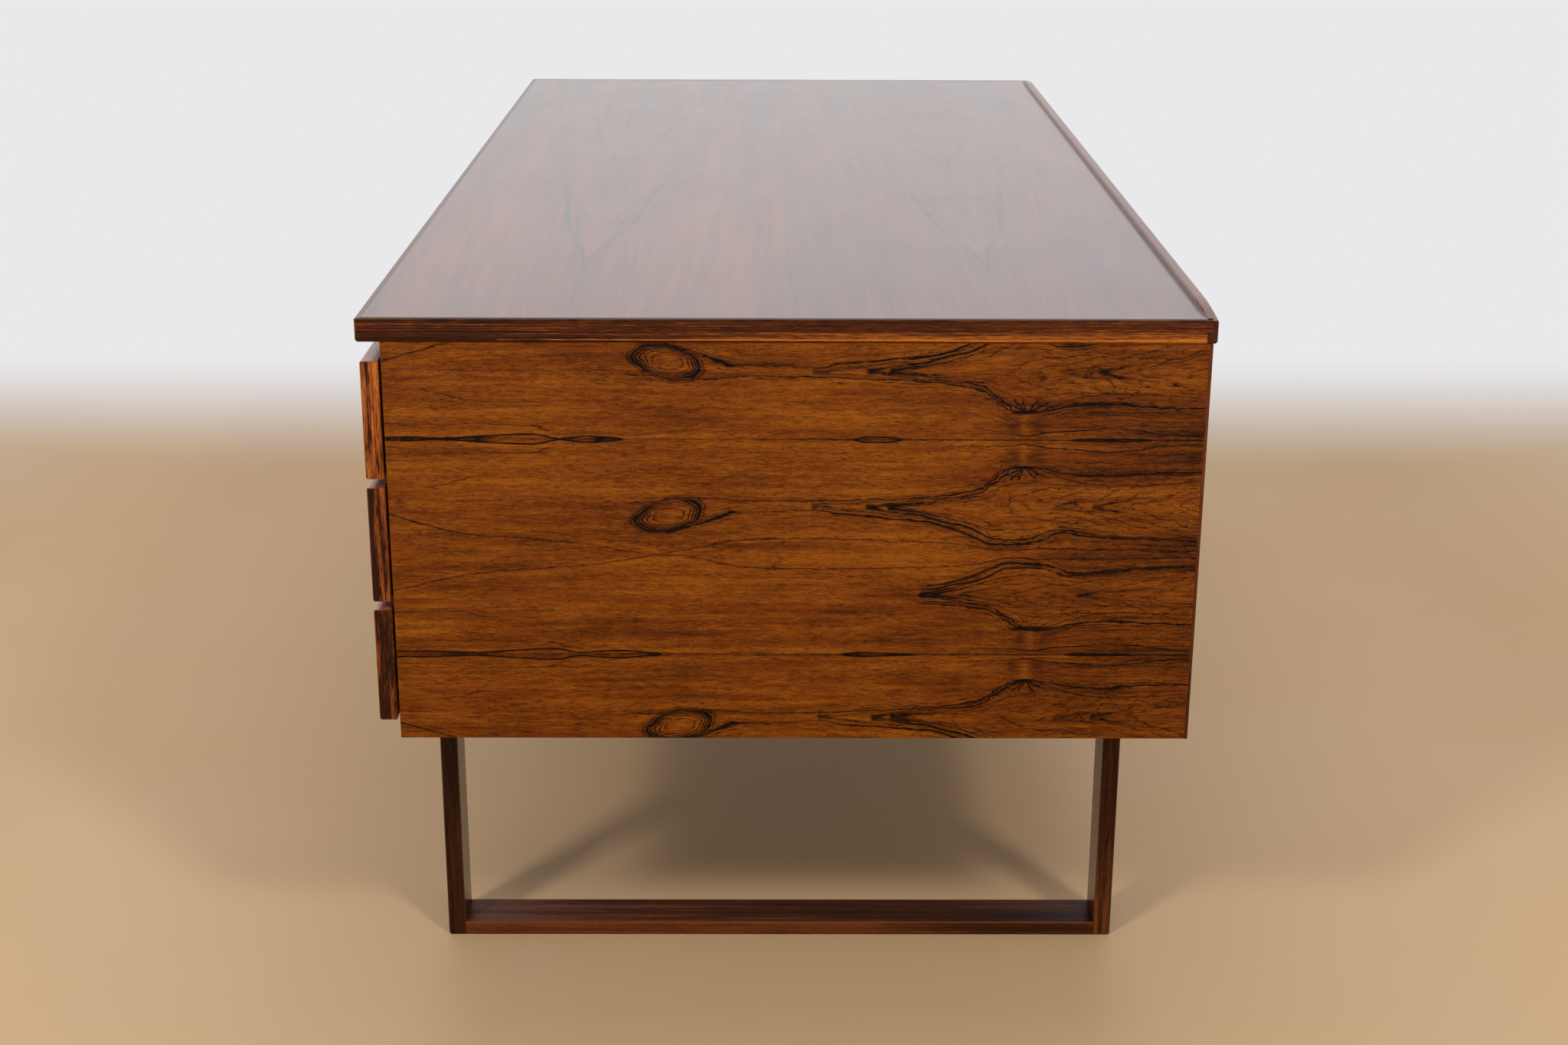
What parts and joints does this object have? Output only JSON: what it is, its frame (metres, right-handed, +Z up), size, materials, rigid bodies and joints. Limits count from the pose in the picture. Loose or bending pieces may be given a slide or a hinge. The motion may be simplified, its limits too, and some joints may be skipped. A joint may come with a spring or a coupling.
{
  "type": "desk",
  "caption": "freestanding writing desk: flat top with a raised rear lip on two drawer pedestals, open bookcase behind, knee space between, on closed wooden sled frames",
  "frame": {"origin": "on the floor, under the middle of the top", "axes": "+Z up; X along the desk's length with +X at the seated user's right hand; -Y toward the seated user (drawer fronts), +Y toward the visitor's side (raised lip, bookcase)"},
  "size_m": [1.6, 0.78, 0.7255],
  "materials": {
    "top_veneer": "satin lacquered rosewood veneer",
    "end_veneer": "satin lacquered rosewood veneer, book-matched",
    "case_veneer": "satin lacquered rosewood veneer",
    "solid_edge": "satin lacquered solid rosewood",
    "drawer_front": "satin lacquered rosewood",
    "sled_wood": "satin lacquered solid dark rosewood",
    "oak": "waxed solid oak",
    "plywood": "thin oak-faced plywood",
    "beech": "bare waxed beech",
    "brass": "dulled brass"
  },
  "bodies": {
    "desk": {"centre_back": "case_veneer", "centre_bottom": "case_veneer", "centre_shelf": "case_veneer", "drawer_runners": "beech", "left_end_panel": "end_veneer", "left_inner_panel": "case_veneer", "left_pedestal_back": "case_veneer", "left_pedestal_bottom": "case_veneer", "left_shelf": "case_veneer", "left_sled_floor_rail": "sled_wood", "left_sled_front_leg": "sled_wood", "left_sled_rear_leg": "sled_wood", "left_sled_top_rail": "sled_wood", "panel_edge_strips": "solid_edge", "right_end_panel": "end_veneer", "right_inner_panel": "case_veneer", "right_pedestal_back": "case_veneer", "right_pedestal_bottom": "case_veneer", "right_shelf": "case_veneer", "right_sled_floor_rail": "sled_wood", "right_sled_front_leg": "sled_wood", "right_sled_rear_leg": "sled_wood", "right_sled_top_rail": "sled_wood", "shelf_pins": "brass", "sled_screws": "brass", "top_board": "top_veneer", "top_dowels": "beech", "top_end_strips": "solid_edge", "top_front_strip": "solid_edge", "top_rear_lip": "solid_edge"},
    "left_bottom_drawer": {"left_bottom_drawer_front": "drawer_front", "left_bottom_drawer_left_side": "oak", "left_bottom_drawer_right_side": "oak", "left_bottom_drawer_back": "oak", "left_bottom_drawer_bottom": "plywood"},
    "left_middle_drawer": {"left_middle_drawer_front": "drawer_front", "left_middle_drawer_left_side": "oak", "left_middle_drawer_right_side": "oak", "left_middle_drawer_back": "oak", "left_middle_drawer_bottom": "plywood"},
    "left_top_drawer": {"left_top_drawer_front": "drawer_front", "left_top_drawer_left_side": "oak", "left_top_drawer_right_side": "oak", "left_top_drawer_back": "oak", "left_top_drawer_bottom": "plywood"},
    "right_bottom_drawer": {"right_bottom_drawer_front": "drawer_front", "right_bottom_drawer_left_side": "oak", "right_bottom_drawer_right_side": "oak", "right_bottom_drawer_back": "oak", "right_bottom_drawer_bottom": "plywood"},
    "right_middle_drawer": {"right_middle_drawer_front": "drawer_front", "right_middle_drawer_left_side": "oak", "right_middle_drawer_right_side": "oak", "right_middle_drawer_back": "oak", "right_middle_drawer_bottom": "plywood"},
    "right_top_drawer": {"right_top_drawer_front": "drawer_front", "right_top_drawer_left_side": "oak", "right_top_drawer_right_side": "oak", "right_top_drawer_back": "oak", "right_top_drawer_bottom": "plywood"}
  },
  "joints": [
    {"name": "left_bottom_drawer_slide", "type": "slide", "parent": "desk", "child": "left_bottom_drawer", "axis": [0, -1, 0], "range_m": [0, 0.34]},
    {"name": "left_middle_drawer_slide", "type": "slide", "parent": "desk", "child": "left_middle_drawer", "axis": [0, -1, 0], "range_m": [0, 0.34]},
    {"name": "left_top_drawer_slide", "type": "slide", "parent": "desk", "child": "left_top_drawer", "axis": [0, -1, 0], "range_m": [0, 0.34]},
    {"name": "right_bottom_drawer_slide", "type": "slide", "parent": "desk", "child": "right_bottom_drawer", "axis": [0, -1, 0], "range_m": [0, 0.34]},
    {"name": "right_middle_drawer_slide", "type": "slide", "parent": "desk", "child": "right_middle_drawer", "axis": [0, -1, 0], "range_m": [0, 0.34]},
    {"name": "right_top_drawer_slide", "type": "slide", "parent": "desk", "child": "right_top_drawer", "axis": [0, -1, 0], "range_m": [0, 0.34]}
  ]
}
